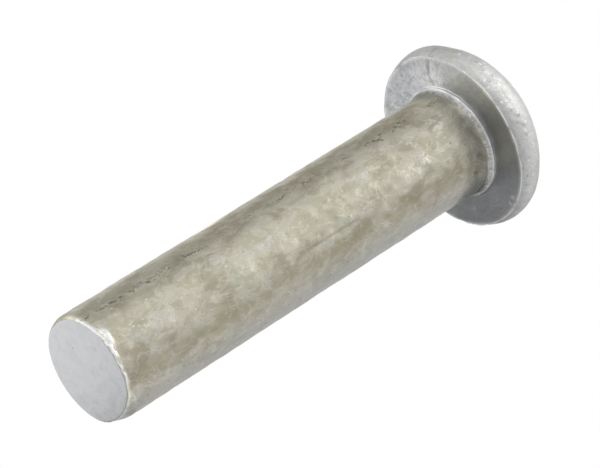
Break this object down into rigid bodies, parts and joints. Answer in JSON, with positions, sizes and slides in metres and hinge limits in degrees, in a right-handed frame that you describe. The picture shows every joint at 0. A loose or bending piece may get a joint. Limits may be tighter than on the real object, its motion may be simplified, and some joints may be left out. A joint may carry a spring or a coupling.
{
  "type": "round head rivet",
  "caption": "Solid round head rivet: a plain round shank, cropped flat at its end, under a low domed head with a rounded rim and a flat bearing face.",
  "frame": {"origin": "centre of the cropped end, on the shank's axis, so the rivet stands on its end at z = 0", "axes": "+Z along the shank towards the crown of the head; +X is the side where the crop left a sharp edge and a small pinched flat, -X the side with the deeper roll-over"},
  "size_m": [0.014, 0.014, 0.0402],
  "materials": {
    "bare_steel": "uncoated cold-headed steel: dull olive-grey drawing film with rubbed bright scuffs on the shank, cleaner pale grey on the head and the cropped end"
  },
  "bodies": {
    "root": {"rivet": "bare_steel"}
  },
  "joints": []
}
